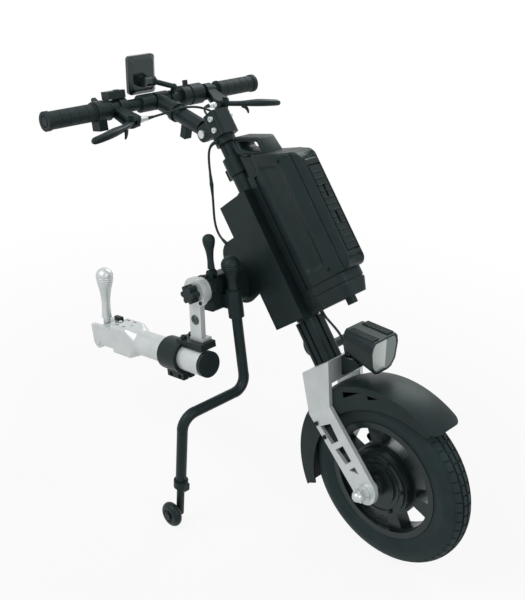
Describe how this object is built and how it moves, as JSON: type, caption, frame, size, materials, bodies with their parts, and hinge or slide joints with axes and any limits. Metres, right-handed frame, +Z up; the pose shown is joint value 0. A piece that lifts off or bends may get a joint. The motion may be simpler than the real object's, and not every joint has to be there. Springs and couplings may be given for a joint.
{
  "type": "wheelchair power assist",
  "caption": "Front wheel drive attachment for a wheelchair: hub motor wheel in a splayed fork, raked column with battery, handlebar, parking legs and a quick clamp docking arm.",
  "frame": {"origin": "middle of the footprint box, on the ground under the parked part", "axes": "+X forward along the direction of travel, +Y to the rider's left, +Z up, parked on its legs"},
  "size_m": [0.8418, 0.5236, 0.7325],
  "materials": {
    "tyre": "moulded rubber",
    "wheel_black": "satin black",
    "frame_black": "satin black",
    "silver": "satin",
    "steel": "satin",
    "plastic_black": "fine grain",
    "gloss_black": "polished",
    "grip_rubber": "matt",
    "lens": "polished",
    "cable": "matt"
  },
  "bodies": {
    "frame": {"channel": "frame_black", "head_tube": "frame_black", "bearings": "frame_black", "dock": "plastic_black", "crossbar": "frame_black", "frame_cable": "cable"},
    "battery": {"battery_case": "plastic_black", "battery_strip": "plastic_black", "battery_screws": "frame_black"},
    "steer": {"column": "frame_black", "collar": "frame_black", "fork": "silver", "fork_screws": "frame_black", "caliper": "wheel_black", "mudguard": "plastic_black", "lamp_bracket": "frame_black", "axle": "steel", "axle_nuts": "steel", "lamp_cable": "cable"},
    "wheel": {"tyre": "tyre", "rim": "wheel_black", "hub": "wheel_black", "cover_screws": "frame_black", "rotor": "steel"},
    "lamp": {"lamp_body": "plastic_black", "lamp_lens": "lens"},
    "mast": {"upper_tube": "frame_black", "head_block": "frame_black", "head_bolts": "steel", "mast_cable": "cable"},
    "stem": {"stem_arm": "frame_black", "handlebar": "frame_black", "grips": "grip_rubber", "lever_brackets": "frame_black", "adjusters": "steel", "throttle_housing": "plastic_black", "left_drum": "plastic_black", "display_arm": "frame_black", "brake_cables": "cable"},
    "lever_right": {"lever_right": "frame_black"},
    "lever_left": {"lever_left": "frame_black"},
    "throttle": {"throttle_paddle": "plastic_black"},
    "switch": {"switch_button": "gloss_black"},
    "left_tab": {"left_tab": "plastic_black"},
    "display": {"display": "gloss_black"},
    "lock": {"lock_lever": "plastic_black"},
    "swing": {"pivot_plate": "silver", "dock_collar": "frame_black"},
    "knob": {"star_knob": "plastic_black"},
    "dock_tube": {"docking_tube": "silver", "tube_cap": "plastic_black", "clamp_head": "silver"},
    "clamp_lever": {"clamp_lever": "silver"},
    "clamp_jaw": {"clamp_jaw": "steel"},
    "leg_right": {"leg_right": "frame_black"},
    "leg_left": {"leg_left": "frame_black"},
    "foot_right": {"foot_right": "frame_black"},
    "foot_left": {"foot_left": "frame_black"},
    "roller_right": {"roller_right": "plastic_black"},
    "roller_left": {"roller_left": "plastic_black"}
  },
  "joints": [
    {"name": "battery_slide", "type": "slide", "parent": "frame", "child": "battery", "axis": [-0.6769, 0, 0.7361], "range_m": [0, 0.09]},
    {"name": "steering", "type": "hinge", "parent": "frame", "child": "steer", "pos_m": [0.24401, 0, 0.1539], "axis": [-0.6769, 0, 0.7361], "range_deg": [-35, 35], "deforming": ["frame_cable", "lamp_cable"]},
    {"name": "wheel_spin", "type": "hinge", "parent": "steer", "child": "wheel", "pos_m": [0.26245, 0, 0.1585], "axis": [0, 1, 0], "continuous": true},
    {"name": "lamp_tilt", "type": "hinge", "parent": "steer", "child": "lamp", "pos_m": [0.16493, 0, 0.33884], "axis": [0, 1, 0], "range_deg": [-20, 8]},
    {"name": "mast_height", "type": "slide", "parent": "steer", "child": "mast", "axis": [-0.6769, 0, 0.7361], "range_m": [0, 0.06], "deforming": ["mast_cable"]},
    {"name": "stem_tilt", "type": "hinge", "parent": "mast", "child": "stem", "pos_m": [-0.23213, 0, 0.63034], "axis": [0, 1, 0], "range_deg": [-20, 20], "deforming": ["brake_cables"]},
    {"name": "lever_right_pull", "type": "hinge", "parent": "stem", "child": "lever_right", "pos_m": [-0.31914, -0.112, 0.64454], "axis": [-0.0958, 0, -0.9954], "range_deg": [0, 20], "stiffness_Nm_per_rad": 0.8, "springref_deg": -8.59},
    {"name": "lever_left_pull", "type": "hinge", "parent": "stem", "child": "lever_left", "pos_m": [-0.31914, 0.112, 0.64454], "axis": [0.0958, 0, 0.9954], "range_deg": [0, 20], "stiffness_Nm_per_rad": 0.8, "springref_deg": -8.59},
    {"name": "throttle_push", "type": "hinge", "parent": "stem", "child": "throttle", "pos_m": [-0.38384, 0, 0.65077], "axis": [0, -1, 0], "range_deg": [0, 30], "stiffness_Nm_per_rad": 0.3, "springref_deg": -11.46},
    {"name": "switch_press", "type": "slide", "parent": "stem", "child": "switch", "axis": [0.2419, 0, -0.9703], "range_m": [0, 0.0012], "stiffness_N_per_m": 400, "springref_m": -0.002},
    {"name": "left_tab_turn", "type": "hinge", "parent": "stem", "child": "left_tab", "pos_m": [-0.38384, 0, 0.65077], "axis": [0, 1, 0], "range_deg": [-15, 15]},
    {"name": "display_tilt", "type": "hinge", "parent": "stem", "child": "display", "pos_m": [-0.38721, -0.024, 0.68909], "axis": [0, 1, 0], "range_deg": [0, 25]},
    {"name": "lock_turn", "type": "hinge", "parent": "frame", "child": "lock", "pos_m": [-0.09148, -0.11, 0.43716], "axis": [0, 1, 0], "range_deg": [-80, 0]},
    {"name": "dock_swing", "type": "hinge", "parent": "frame", "child": "swing", "pos_m": [-0.09732, -0.13, 0.40684], "axis": [0, 1, 0], "range_deg": [0, 45]},
    {"name": "knob_turn", "type": "hinge", "parent": "swing", "child": "knob", "pos_m": [-0.09732, -0.152, 0.40684], "axis": [0, 1, 0], "continuous": true},
    {"name": "dock_reach", "type": "slide", "parent": "swing", "child": "dock_tube", "axis": [0.9703, 0, 0.2419], "range_m": [-0.03, 0.04]},
    {"name": "clamp_lever_turn", "type": "hinge", "parent": "dock_tube", "child": "clamp_lever", "pos_m": [-0.35405, -0.146, 0.19236], "axis": [0, 1, 0], "range_deg": [-70, 0]},
    {"name": "clamp_jaw_slide", "type": "slide", "parent": "dock_tube", "child": "clamp_jaw", "axis": [0.9703, 0, 0.2419], "range_m": [-0.006, 0]},
    {"name": "leg_right_swivel", "type": "hinge", "parent": "frame", "child": "leg_right", "pos_m": [-0.05522, -0.0853, 0.38848], "axis": [0.2419, 0, -0.9703], "range_deg": [0, 60]},
    {"name": "leg_left_swivel", "type": "hinge", "parent": "frame", "child": "leg_left", "pos_m": [-0.05522, 0.0853, 0.38848], "axis": [-0.2419, 0, 0.9703], "range_deg": [0, 60]},
    {"name": "foot_right_slide", "type": "slide", "parent": "leg_right", "child": "foot_right", "axis": [0, 0, -1], "range_m": [0, 0.04]},
    {"name": "foot_left_slide", "type": "slide", "parent": "leg_left", "child": "foot_left", "axis": [0, 0, -1], "range_m": [0, 0.04]},
    {"name": "roller_right_spin", "type": "hinge", "parent": "foot_right", "child": "roller_right", "pos_m": [-0.01531, -0.2503, 0.023], "axis": [0, 1, 0], "continuous": true},
    {"name": "roller_left_spin", "type": "hinge", "parent": "foot_left", "child": "roller_left", "pos_m": [-0.01531, 0.2503, 0.023], "axis": [0, 1, 0], "continuous": true}
  ],
  "couplings": [
    {"joint": "clamp_jaw_slide", "follows": "clamp_lever_turn", "m_per_rad": 0.0049}
  ]
}
